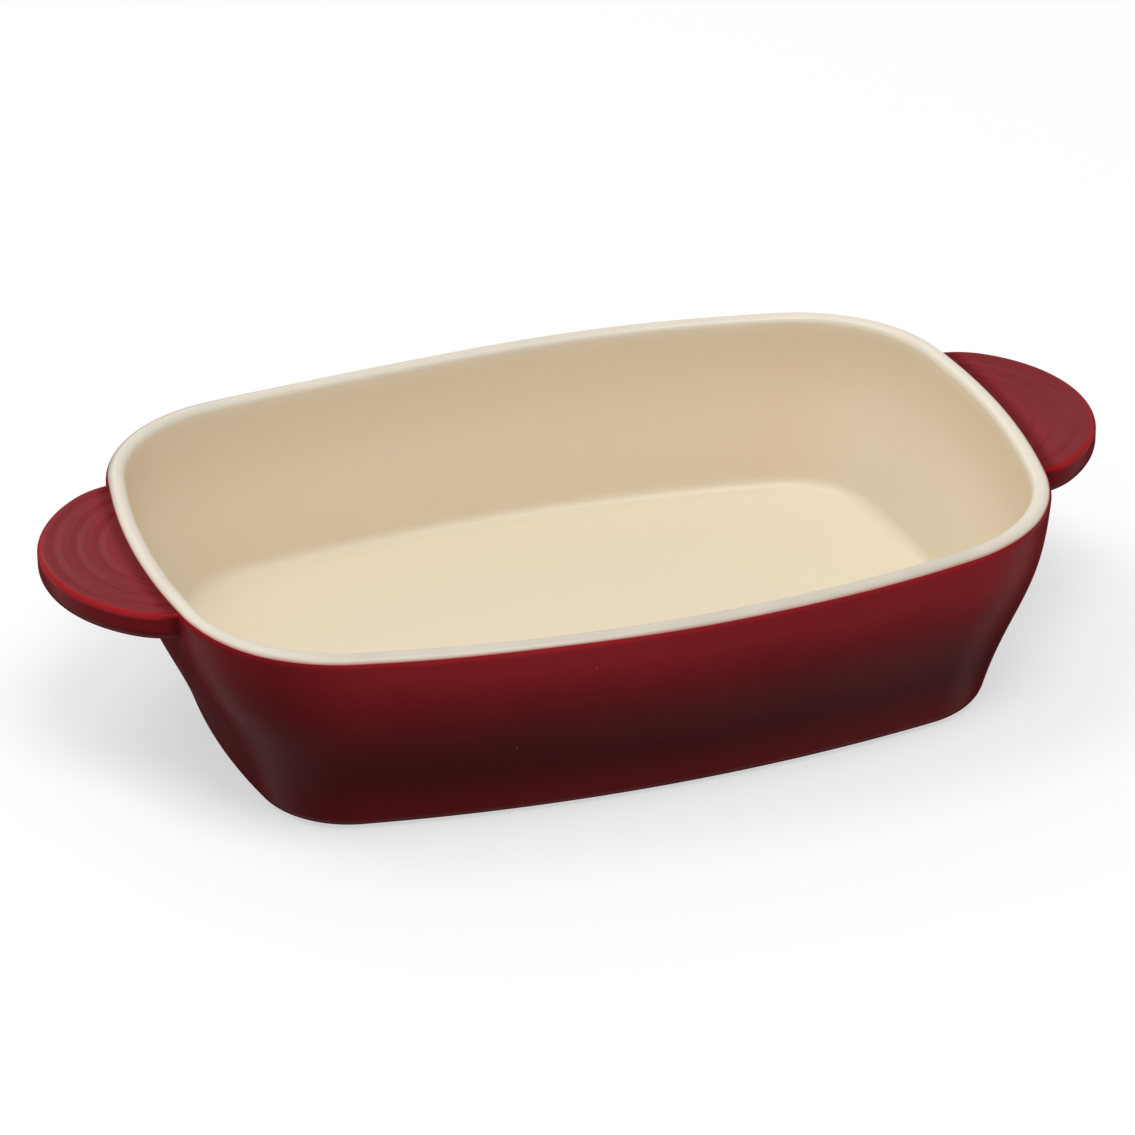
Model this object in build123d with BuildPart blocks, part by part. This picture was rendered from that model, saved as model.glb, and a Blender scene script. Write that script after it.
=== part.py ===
from build123d import *
import math
import os

os.makedirs("parts", exist_ok=True)

# Outline of the rim seen from above: bowed sides joined by tangent corner arcs
rim_length = 330.0
rim_width = 228.2
rim_side_radius = 544.0
rim_end_radius = 296.0
rim_corner_radius = 62.8

# Outline where the wall meets the ground, before its lower edge is rounded
base_length = 278.4
base_width = 187.2
base_side_radius = 594.0
base_end_radius = 280.0
base_corner_radius = 34.0

# Height of the dish, and how the wall draws in from the rim to the base
height = 79.0
wall_level_shares = (0.0, 0.19, 0.40, 0.665, 1.0)
wall_draw_shares = (1.0, 0.806, 0.536, 0.194, 0.0)

# Thickness of the wall measured level, at the floor, the belly and the rim
wall_at_floor = 7.0
wall_at_belly = 7.6
wall_at_rim = 7.2
floor_top = 14.0
cove_radius = 6.5
cavity_level_shares = (0.40, 0.665, 1.0)

# Rounded edges of the body
rim_outer_round = 3.9
rim_inner_round = 3.0
foot_round = 6.5

# Coats of glaze
glaze = 0.5
glaze_line_below_rim = 1.6
dry_foot_height = 1.2

# Bare foot ring and the shallow hollow inside it
foot_inset = 4.2
foot_ring_width = 8.0
underside_hollow = 2.2

# Lug handles, flat half rounds with a small round above and a fuller one below
lug_reach = 30.9
lug_width = 99.4
lug_nose_radius = 56.6
lug_shoulder_radius = 28.6
lug_thickness = 11.0
lug_upper_round = 2.5
lug_lower_round = 4.8
lug_below_rim = 1.8
lug_root_depth = 6.0
lug_seat = 2.5

# Length by which cutting blocks run past what they cut
overrun = 5.0

# Shallow grooves that follow the edge of each lug
groove_count = 3
groove_first = 6.0
groove_pitch = 7.8
groove_width = 4.6
groove_depth = 0.45

groove_radius = (groove_width**2 / 4 + groove_depth**2) / (2 * groove_depth)
half_length = rim_length / 2
half_width = rim_width / 2
lug_top = height - lug_below_rim
glaze_line = height - glaze_line_below_rim


def blend(start, end, share):
    """Value between two sizes at a share of the way."""
    return start + (end - start) * share


def read_off(levels, values, share):
    """Value of a table at a share of the height, straight between its rows."""
    for i in range(len(levels) - 1):
        if share <= levels[i + 1]:
            step = (share - levels[i]) / (levels[i + 1] - levels[i])
            return blend(values[i], values[i + 1], step)
    return values[-1]


def wall_at(share):
    """Level thickness of the wall at a share of the height."""
    floor_share = floor_top / height
    belly_share = cavity_level_shares[0]
    return read_off((floor_share, belly_share, 1.0), (wall_at_floor, wall_at_belly, wall_at_rim), share)


def outline_sizes(share, inset):
    """Half length, half width and three radii of the outline at a share of the height."""
    draw = read_off(wall_level_shares, wall_draw_shares, share)
    a = blend(half_length, base_length / 2, draw) - inset
    b = blend(half_width, base_width / 2, draw) - inset
    side = blend(base_side_radius, rim_side_radius, share) - inset
    end = blend(base_end_radius, rim_end_radius, share) - inset
    corner = blend(base_corner_radius, rim_corner_radius, share) - inset
    return a, b, side, end, corner


def tangent_centre(centre_1, radius_1, centre_2, radius_2):
    """Crossing of two circles on the +X +Y side, the centre of an arc tangent to both sides."""
    gap = centre_2 - centre_1
    along = (radius_1**2 - radius_2**2 + gap.length**2) / (2 * gap.length)
    aside = math.sqrt(radius_1**2 - along**2)
    unit = gap.normalized()
    square = Vector(-unit.Y, unit.X, 0)
    foot = centre_1 + unit * along
    return max(foot + square * aside, foot - square * aside, key=lambda p: p.X + p.Y)


def on_circle(centre, radius, toward):
    """Point of a circle on the ray from its centre towards another point."""
    return centre + (toward - centre).normalized() * radius


def draw_outline(share, inset):
    """Eight tangent arcs of the bowed rectangle at a share of the height."""
    a, b, side, end, corner = outline_sizes(share, inset)
    side_centre = Vector(0, b - side)
    end_centre = Vector(a - end, 0)
    corner_centre = tangent_centre(side_centre, side - corner, end_centre, end - corner)
    side_touch = on_circle(corner_centre, corner, corner_centre * 2 - side_centre)
    end_touch = on_circle(corner_centre, corner, corner_centre * 2 - end_centre)
    bisector = (side_touch - corner_centre) + (end_touch - corner_centre)
    corner_mid = on_circle(corner_centre, corner, corner_centre + bisector)

    def at(point, sign_x, sign_y):
        return (point.X * sign_x, point.Y * sign_y)

    ThreePointArc(at(side_touch, -1, 1), (0, b), at(side_touch, 1, 1))
    ThreePointArc(at(side_touch, 1, 1), at(corner_mid, 1, 1), at(end_touch, 1, 1))
    ThreePointArc(at(end_touch, 1, 1), (a, 0), at(end_touch, 1, -1))
    ThreePointArc(at(end_touch, 1, -1), at(corner_mid, 1, -1), at(side_touch, 1, -1))
    ThreePointArc(at(side_touch, 1, -1), (0, -b), at(side_touch, -1, -1))
    ThreePointArc(at(side_touch, -1, -1), at(corner_mid, -1, -1), at(end_touch, -1, -1))
    ThreePointArc(at(end_touch, -1, -1), (-a, 0), at(end_touch, -1, 1))
    ThreePointArc(at(end_touch, -1, 1), at(corner_mid, -1, 1), at(side_touch, -1, 1))


def outer_form(skin):
    """Solid block of the dish without its hollow, drawn in by a skin all round."""
    low = skin / height
    high = 1.0 - skin / height
    shares = (low,) + wall_level_shares[1:-1] + (high,)
    with BuildPart() as block:
        for share in shares:
            with BuildSketch(Plane.XY.offset(share * height)):
                with BuildLine():
                    draw_outline(share, skin)
                make_face()
        loft()
        fillet(block.faces().sort_by(Axis.Z)[0].edges(), foot_round - skin)
        fillet(block.faces().sort_by(Axis.Z)[-1].edges(), rim_outer_round - skin)
    return block.part


def hollow_form(growth):
    """Hollow of the dish up to its rim, swollen by a growth all round."""
    low = (floor_top - growth) / height
    shares = (low,) + cavity_level_shares
    with BuildPart() as hollow:
        for share in shares:
            with BuildSketch(Plane.XY.offset(share * height)):
                with BuildLine():
                    draw_outline(share, wall_at(share) - growth)
                make_face()
        loft()
        fillet(hollow.faces().sort_by(Axis.Z)[0].edges(), cove_radius + growth)
    return hollow.part


def dish_form(skin):
    """Walled dish with its rounded rim, drawn in by a skin on every face."""
    with BuildPart() as dish:
        add(outer_form(skin))
        add(hollow_form(skin), mode=Mode.SUBTRACT)
        rim = dish.faces().filter_by(Axis.Z).sort_by(Axis.Z)[-1]
        fillet(rim.inner_wires()[0].edges(), rim_inner_round - skin)
    return dish.part


def lug_arcs(inset):
    """Nose and shoulder arcs of the right lug, as centres, radii and their touching points."""
    nose = lug_nose_radius - inset
    shoulder = lug_shoulder_radius - inset
    nose_centre = Vector(half_length + lug_reach - lug_nose_radius, 0)
    rise = lug_width / 2 - lug_shoulder_radius
    run = math.sqrt((lug_nose_radius - lug_shoulder_radius)**2 - rise**2)
    shoulder_centre = nose_centre + Vector(run, rise)
    touch = on_circle(nose_centre, nose, shoulder_centre)
    tip = nose_centre + Vector(nose, 0)
    side = shoulder_centre + Vector(0, shoulder)
    turn = (touch - shoulder_centre).normalized() + Vector(0, 1)
    middle = on_circle(shoulder_centre, shoulder, shoulder_centre + turn)
    return tip, touch, middle, side


def draw_lug_edge(inset):
    """Open line of the right lug's outer edge, from one side round the nose to the other."""
    tip, touch, middle, side = lug_arcs(inset)
    ThreePointArc((side.X, -side.Y), (middle.X, -middle.Y), (touch.X, -touch.Y))
    ThreePointArc((touch.X, -touch.Y), (tip.X, 0), (touch.X, touch.Y))
    ThreePointArc((touch.X, touch.Y), (middle.X, middle.Y), (side.X, side.Y))


def lug_form(skin):
    """Right lug with its rounded edge and its grooves, drawn in by a skin on every face."""
    tip, touch, middle, side = lug_arcs(skin)
    root = side.X - lug_root_depth
    thick = lug_thickness - 2 * skin
    with BuildPart() as lug:
        with BuildSketch(Plane.XY.offset(lug_top - skin)):
            with BuildLine():
                draw_lug_edge(skin)
                Polyline((side.X, side.Y), (root, side.Y), (root, -side.Y), (side.X, -side.Y))
            make_face()
        extrude(amount=-thick)
        lower = lug.faces().sort_by(Axis.Z)[0].edges()
        fillet(lower.filter_by(lambda e: e.center().X > root + lug_root_depth / 4), lug_lower_round - skin)
        upper = lug.faces().sort_by(Axis.Z)[-1].edges()
        fillet(upper.filter_by(lambda e: e.center().X > root + lug_root_depth / 4), lug_upper_round - skin)
        for i in range(groove_count):
            inset = groove_first + i * groove_pitch
            level = lug_top - groove_depth + groove_radius
            with BuildLine(Plane.XY.offset(level)) as path:
                draw_lug_edge(inset)
            start = path.line @ 0
            with BuildSketch(Plane(start, x_dir=(0, 1, 0), z_dir=path.line % 0)):
                Circle(groove_radius + skin)
            sweep(path=path.line, mode=Mode.SUBTRACT)
    return lug.part


def flat_disc(share, inset, low, high):
    """Flat block with the dish's outline, between two heights."""
    with BuildPart() as disc:
        with BuildSketch(Plane.XY.offset(low)):
            with BuildLine():
                draw_outline(share, inset)
            make_face()
        extrude(amount=high - low)
    return disc.part


clay_block = outer_form(glaze)
clay_dish = dish_form(glaze)
glazed_block = outer_form(0)
glazed_dish = dish_form(0)
clay_heart = outer_form(lug_seat)
glazed_lug = lug_form(0) - clay_heart
bare_lug = lug_form(glaze)
lug_keyed = bare_lug - clay_heart
recess_depth = underside_hollow + glaze
recess_inset = foot_inset + foot_ring_width

# Region of the cream glaze: the hollow side of the wall, and all of the rim above the line
cream_side = hollow_form(wall_at_rim / 2)
cream_top = flat_disc(1.0, -overrun, glaze_line, height + overrun)

# Clay body with its bare foot ring and the hollow inside the ring
with BuildPart() as stoneware_basin:
    add(clay_dish)
    add(flat_disc(0.0, foot_inset, 0, recess_depth))
    add(flat_disc(0.0, recess_inset, -overrun, recess_depth), mode=Mode.SUBTRACT)
stoneware_basin.part.label = "stoneware_basin"
export_step(stoneware_basin.part, "parts/stoneware_basin.step")

# Clay lugs, luted on to the end walls
with BuildPart() as right_lug_handle:
    add(bare_lug)
    add(clay_block, mode=Mode.SUBTRACT)
right_lug_handle.part.label = "right_lug_handle"
export_step(right_lug_handle.part, "parts/right_lug_handle.step")

with BuildPart() as left_lug_handle:
    add(mirror(right_lug_handle.part, about=Plane.YZ))
left_lug_handle.part.label = "left_lug_handle"
export_step(left_lug_handle.part, "parts/left_lug_handle.step")

# Cream coat of the inside, carried over the rim to the glaze line
with BuildPart() as cream_liner_glaze:
    add(glazed_dish)
    add(clay_dish, mode=Mode.SUBTRACT)
    add(cream_side + cream_top, mode=Mode.INTERSECT)
cream_liner_glaze.part.label = "cream_liner_glaze"
export_step(cream_liner_glaze.part, "parts/cream_liner_glaze.step")

# Red coat of the outer wall and of both lugs, from the glaze line to just above the foot
with BuildPart() as red_outer_glaze:
    add(glazed_block)
    add(glazed_lug)
    add(mirror(glazed_lug, about=Plane.YZ))
    split(bisect_by=Plane.XY.offset(glaze_line), keep=Keep.BOTTOM)
    split(bisect_by=Plane.XY.offset(dry_foot_height), keep=Keep.TOP)
    add(clay_block, mode=Mode.SUBTRACT)
    add(lug_keyed, mode=Mode.SUBTRACT)
    add(mirror(lug_keyed, about=Plane.YZ), mode=Mode.SUBTRACT)
red_outer_glaze.part.label = "red_outer_glaze"
export_step(red_outer_glaze.part, "parts/red_outer_glaze.step")

# Patch of the same glaze on the underside, inside the foot ring
with BuildPart() as red_underside_glaze:
    add(flat_disc(0.0, recess_inset, underside_hollow, recess_depth))
red_underside_glaze.part.label = "red_underside_glaze"
export_step(red_underside_glaze.part, "parts/red_underside_glaze.step")
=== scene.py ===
import math

import bpy
import numpy as np
from bpy.props import FloatProperty, FloatVectorProperty, IntProperty, PointerProperty
from mathutils import Matrix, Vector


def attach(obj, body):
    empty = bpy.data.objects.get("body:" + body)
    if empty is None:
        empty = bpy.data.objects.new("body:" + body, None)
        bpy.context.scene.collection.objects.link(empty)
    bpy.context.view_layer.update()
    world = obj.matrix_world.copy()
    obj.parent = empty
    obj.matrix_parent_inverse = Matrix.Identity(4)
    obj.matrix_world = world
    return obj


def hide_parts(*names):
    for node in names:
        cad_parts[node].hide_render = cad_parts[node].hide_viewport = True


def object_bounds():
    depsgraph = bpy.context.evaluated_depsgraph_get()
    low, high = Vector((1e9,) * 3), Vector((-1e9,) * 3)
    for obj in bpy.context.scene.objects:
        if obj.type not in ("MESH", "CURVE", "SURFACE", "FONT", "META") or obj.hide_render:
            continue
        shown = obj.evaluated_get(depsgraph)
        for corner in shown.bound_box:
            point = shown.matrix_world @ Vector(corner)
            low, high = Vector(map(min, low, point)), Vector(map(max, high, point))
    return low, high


bl_info = {
    "name": "Glazed Lasagna Dish",
    "version": (1, 0, 0),
    "blender": (4, 5, 0),
    "location": "View3D > Sidebar > Dish",
    "description": "Stoneware lasagna dish with a cream liner, a red outer glaze and lug handles",
    "category": "Add Mesh",
}

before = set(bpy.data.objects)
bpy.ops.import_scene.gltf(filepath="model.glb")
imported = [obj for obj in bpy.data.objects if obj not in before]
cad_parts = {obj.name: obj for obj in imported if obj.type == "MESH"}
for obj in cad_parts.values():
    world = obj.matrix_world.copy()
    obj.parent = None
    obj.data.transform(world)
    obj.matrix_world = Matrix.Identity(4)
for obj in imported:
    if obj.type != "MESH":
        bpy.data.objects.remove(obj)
CAD_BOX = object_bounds()
FOOT_Z = CAD_BOX[0].z
RIM_Z = CAD_BOX[1].z

# Columns round a quarter of the outline: half a long side, a corner, half an end
QUARTER_COLUMNS = (48, 40, 32)

# Light of the lamps and the surround on the open floor, where 1 shows a white floor as white
LAMPS_ON_FLOOR = 1.07

# How white the open floor shows in all, and how far it lies under the foot
FLOOR_WHITE = 1.03
FLOOR_DROP = 0.0001
FLOOR_REACH = 8.0

# Size of each lamp, its distance from the dish and the level that it looks at
LAMP_SIZE = 1.6
LAMP_AWAY = 3.0
LAMP_AIM = 0.04

# Line where red meets cream, as a turn of the rim's rounding in degrees: its mean, its waves
# (size, number round the rim, start), how much lower it lies at the front, and its turn
# beside the lugs
GLAZE_LINE = 36.0
GLAZE_WAVES = ((2.2, 3, 0.6), (1.6, 7, 2.0), (1.1, 13, 0.0))
FRONT_LOWER = 8.0
BESIDE_LUGS = 39.0

# Half sizes that give those places, and how far the lugs reach across the ends
HALF_RIM = (0.165, 0.114)
LUG_SPAN = (0.75, 0.2)

# Places round the rim where the glaze line rides up: bearing, spread and rise
GLAZE_RISES = ((2.20, 0.24, 34.0), (1.02, 0.16, 24.0))

# Heights over the foot between which the red runs from the painted shade of the low wall to the bright
# top, and over which painted light thrown up by the floor brightens it from the foot up
RED_RUN = (0.030, 0.072)
RED_FOOT = (0.024, 0.002)

# Sag of the rims in the kiln: waves along the back, where the front's extra sag starts, and
# the part of the width at which it is full
BACK_WAVES = 1.25
FRONT_START = 0.8
SLUMP_WIDTH = 0.46

# Rows of the hollow under the foot, as shares of its outline, and the foot ring's eased edges
HOLLOW_SHARES = (0.1, 0.4, 0.75, 1.0)
FOOT_EASE = 0.0004

# Masks of the cream coat, each an edge and a span. Along the coat from the glaze line
PALE_RIM = (0.01275, 0.0075)
GLAZES_MEET = (0.0011, 0.0011)
GREY_LINE_EDGE = (0.0026, 0.0020)

# Up the wall from the inner floor
WARM_COVE = (0.0005, 0.0065)
WARM_WALL = (0.0, 0.026)
PALE_LOW_WALL = (0.054, 0.045)

# Across the rim, where 1 is the end of its half length or half width, and a bearing.
# FRONT_SIDE, FRONT_ENDS and RIGHT_PART place the painted shade on the rim; BACK_LEFT places its greyer
# back-left line
FRONT_SIDE = (-0.35, 0.5)
FRONT_ENDS = (0.97, 0.3)
RIGHT_PART = (0.35, 0.45)
END_WALLS = (0.82, 0.12)
BACK_LEFT = (2.37, 0.36)

# Masks of the red coat: the thin band under the glaze line, and the painted shade of the walls that face
# left and right, by the level part of their outward direction
THIN_RED = (0.0042, 0.0042)
FACES_LEFT = (-0.12, 0.5)
FACES_RIGHT = (0.3, 0.5)

# Depth to which a lug's coat runs into the wall, and the spacing of the rows over its top
LUG_SEAT = 0.0025
LUG_ROW_STEP = 0.00035
LUG_ROW_END = 0.040
SHORTEST_LINE = 0.003

# Turn of a lug's edge, in degrees, under which no groove can lie, and the mark for that
GROOVES_END = 20
NO_GROOVE = -1.0

CAMERA = (
    (0.9505566, 0.1588229, -0.2668660, -0.5299783),
    (-0.3103534, 0.4551449, -0.8345801, -1.6456567),
    (-0.0110877, 0.8761384, 0.4819322, 0.9913933),
    (0.0, 0.0, 0.0, 1.0),
)


def length(name, description, default):
    return FloatProperty(name=name, description=description, default=default, min=0.0,
                         unit="LENGTH", precision=5)


def colour(name, description, default):
    return FloatVectorProperty(name=name, description=description, default=default,
                               subtype="COLOR", size=3, min=0.0, max=1.0)


def share(name, description, default):
    return FloatProperty(name=name, description=description, default=default, min=0.0, max=1.0,
                         subtype="FACTOR")


def power(name, description, default):
    return FloatProperty(name=name, description=description, default=default, min=0.0, unit="POWER")


class DishShape(bpy.types.PropertyGroup):
    rim_length: length("Rim length", "Length over the rim", 0.3300)
    rim_width: length("Rim width", "Width over the rim", 0.2282)
    rim_side_radius: length("Rim side radius", "Bow of the long sides at the rim", 0.5440)
    rim_end_radius: length("Rim end radius", "Bow of the ends at the rim", 0.2960)
    rim_corner_radius: length("Rim corner radius", "Corner of the outline at the rim", 0.0628)
    base_length: length("Base length", "Length at the ground", 0.2784)
    base_width: length("Base width", "Width at the ground", 0.1872)
    base_side_radius: length("Base side radius", "Bow of the long sides at the base", 0.5940)
    base_end_radius: length("Base end radius", "Bow of the ends at the base", 0.2800)
    base_corner_radius: length("Base corner radius", "Corner of the outline at the base", 0.0340)
    wall_at_floor: length("Wall at the floor", "Thickness of the wall by the floor", 0.0070)
    wall_at_belly: length("Wall at the belly", "Thickness of the wall part way up", 0.0076)
    wall_at_rim: length("Wall at the rim", "Thickness of the wall at the rim", 0.0072)
    floor_top: length("Floor height", "Height of the inner floor", 0.0140)
    cove_radius: length("Cove radius", "Hollow curve between floor and wall", 0.0065)
    rim_outer_round: length("Outer rim round", "Rounding of the rim outside", 0.0039)
    rim_inner_round: length("Inner rim round", "Rounding of the rim inside", 0.0030)
    foot_round: length("Foot round", "Rounding of the wall's lower edge", 0.0065)
    rim_sag: length("Rim sag", "How far the long sides slumped in the kiln", 0.0017)
    front_gain: share("Front sag gain", "Extra sag of the front rim to its right", 0.30)
    back_swing: share("Back sag swing", "Extra sag of the back rim to its left", 0.62)
    glaze: length("Glaze thickness", "Thickness of each coat of glaze", 0.0005)
    dry_foot: length("Dry foot", "Height of the bare clay at the foot", 0.0012)
    foot_inset: length("Foot inset", "Distance of the foot ring from the wall", 0.0042)
    foot_ring_width: length("Foot ring width", "Width of the bare ring under the dish", 0.0080)
    underside_hollow: length("Underside hollow", "Depth of the hollow inside the foot ring", 0.0022)


class LugShape(bpy.types.PropertyGroup):
    reach: length("Reach", "How far a lug stands out", 0.0309)
    width: length("Width", "Full width of a lug at its root", 0.1020)
    nose_radius: length("Nose radius", "Radius at the tip", 0.0566)
    shoulder_radius: length("Shoulder radius", "Radius beside the wall", 0.0296)
    thickness: length("Thickness", "Thickness of a lug", 0.0112)
    upper_round: length("Upper round", "Rounding of the edge above", 0.0025)
    lower_round: length("Lower round", "Rounding of the edge below", 0.0048)
    below_rim: length("Below the rim", "Depth of a lug's top under the rim", 0.0015)
    groove_count: IntProperty(name="Grooves", description="Grooves along the edge of a lug",
                              default=3, min=0)
    groove_first: length("First groove", "Outer groove's distance from the edge", 0.0060)
    groove_pitch: length("Groove pitch", "Distance between grooves", 0.0078)
    groove_width: length("Groove width", "Width of a groove", 0.0052)
    groove_depth: length("Groove depth", "Depth of a groove", 0.00045)


class DishFinish(bpy.types.PropertyGroup):
    red: colour("Red glaze", "Red glaze under the rim", (0.370, 0.0245, 0.0320))
    # Painted shade: the low wall, the walls facing left and right and the lugs' undersides darken to
    # this red
    red_shade: colour("Deep red", "Red glaze where it lies thick", (0.092, 0.0045, 0.0060))
    # Painted light thrown up by the floor: the lowest band of the wall brightens to this red
    red_foot: colour("Red foot", "Red glaze on the lower edge", (0.195, 0.0130, 0.0165))
    # Brighter red where the glaze breaks thin under the glaze line, and a painted highlight band along
    # the lugs' rounded edge
    red_thin: colour("Thin red", "Red glaze where it breaks over an edge", (0.400, 0.0080, 0.0130))
    # Painted sheen: the lug tops take this greyer red in place of a reflection
    red_lug: colour("Red lugs", "Milkier red of the tops of the lugs", (0.215, 0.0255, 0.0315))
    cream: colour("Cream glaze", "Cream glaze of the inner floor", (0.775, 0.685, 0.527))
    cream_wall: colour("Cream walls", "Warmer cream of the walls", (0.790, 0.650, 0.472))
    cream_rim: colour("Cream rim", "Paler cream of the rim", (0.800, 0.735, 0.610))
    # Painted shade on the front and left of the rim, and a greyer line along its back-left edge
    cream_edge: colour("Cream edge", "Greyer cream where the glaze lies thinnest", (0.450, 0.410, 0.350))
    blush: colour("Blush", "Where the two glazes run together", (0.640, 0.330, 0.270))
    clay: colour("Bare clay", "Fired clay of the foot ring", (0.560, 0.430, 0.300))
    red_gloss: share("Red roughness", "Roughness of the red glaze", 0.22)
    cream_gloss: share("Cream roughness", "Roughness of the cream glaze", 0.30)
    speck_count: FloatProperty(name="Pin marks", default=260.0, min=0.0,
                               description="Pin marks in each square metre of red glaze")
    speck_size: length("Pin mark size", "Radius of the largest pin mark", 0.00042)


class StageSetup(bpy.types.PropertyGroup):
    overhead: power("Overhead lamp", "Power of the wide lamp overhead", 39.0)
    left: power("Left lamp", "Power of the soft lamp on the left", 23.0)
    behind: power("Rear lamp", "Power of the soft lamp behind", 9.0)
    surround: FloatProperty(name="Surround", description="Level of the soft light from all round",
                            default=0.41, min=0.0)
    floor_bounce: share("Floor bounce", "How pale the floor is to the light it throws back", 0.30)
    floor_shade: share("Floor shade", "Share of the floor's white that takes a shadow", 0.45)
    lens: FloatProperty(name="Lens", description="Focal length on a 36 mm square frame",
                        default=173.66, unit="CAMERA")


def rise(value, start, span):
    """Mask that grows from 0 at a start to 1 a span further on."""
    return np.clip((value - start) / span, 0, 1)


def fall(value, end, span):
    """Mask that sinks to 0 at an end, from 1 a span before it."""
    return np.clip((end - value) / span, 0, 1)


def hump(value, centre, spread):
    """Mask with a soft peak of 1 at a centre."""
    return np.exp(-((value - centre) / spread) ** 2)


def natural_spline(levels, rows):
    """Smooth curve through rows of sizes at given levels, straight at both ends."""
    x, y = np.asarray(levels, float), np.asarray(rows, float)
    n = len(x)
    gap = np.diff(x)
    lhs, rhs = np.eye(n), np.zeros_like(y)
    for i in range(1, n - 1):
        lhs[i, i - 1:i + 2] = gap[i - 1], 2 * (gap[i - 1] + gap[i]), gap[i]
        rhs[i] = 6 * ((y[i + 1] - y[i]) / gap[i] - (y[i] - y[i - 1]) / gap[i - 1])
    bend = np.linalg.solve(lhs, rhs)

    def at(level):
        i = int(np.clip(np.searchsorted(x, level) - 1, 0, n - 2))
        h, p, q = gap[i], x[i + 1] - level, level - x[i]
        return ((bend[i] * p ** 3 + bend[i + 1] * q ** 3) / (6 * h)
                + (y[i] / h - bend[i] * h / 6) * p + (y[i + 1] / h - bend[i + 1] * h / 6) * q)
    return at


def outline(sizes):
    """Points and outward normals of the bowed rectangle, clockwise from the far side's middle."""
    a, b, side, end, corner = sizes
    side_c, end_c = np.array([0.0, b - side]), np.array([a - end, 0.0])
    r1, r2 = side - corner, end - corner
    gap = end_c - side_c
    d = np.hypot(*gap)
    along = (r1 ** 2 - r2 ** 2 + d ** 2) / (2 * d)
    aside = math.sqrt(r1 ** 2 - along ** 2)
    unit = gap / d
    square = np.array([-unit[1], unit[0]])
    meets = [side_c + unit * along + square * k * aside for k in (1, -1)]
    corner_c = max(meets, key=lambda p: p.sum())
    first = math.atan2(corner_c[0] - side_c[0], corner_c[1] - side_c[1])
    last = math.atan2(corner_c[0] - end_c[0], corner_c[1] - end_c[1])
    n1, n2, n3 = QUARTER_COLUMNS
    turns = [np.linspace(0, first, n1, endpoint=False), np.linspace(first, last, n2, endpoint=False),
             np.linspace(last, math.pi / 2, n3 + 1)]
    points, normals = [], []
    for turn, centre, radius in zip(turns, (side_c, corner_c, end_c), (side, corner, end)):
        n = np.stack([np.sin(turn), np.cos(turn)], 1)
        points.append(centre + n * radius)
        normals.append(n)
    p, n = np.concatenate(points), np.concatenate(normals)

    def whole(q):
        back = q[::-1]
        quarters = (q, back * (1, -1), q * (-1, -1), back * (-1, 1))
        return np.concatenate([quarter[:-1] for quarter in quarters])
    return whole(p), whole(n)


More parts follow.
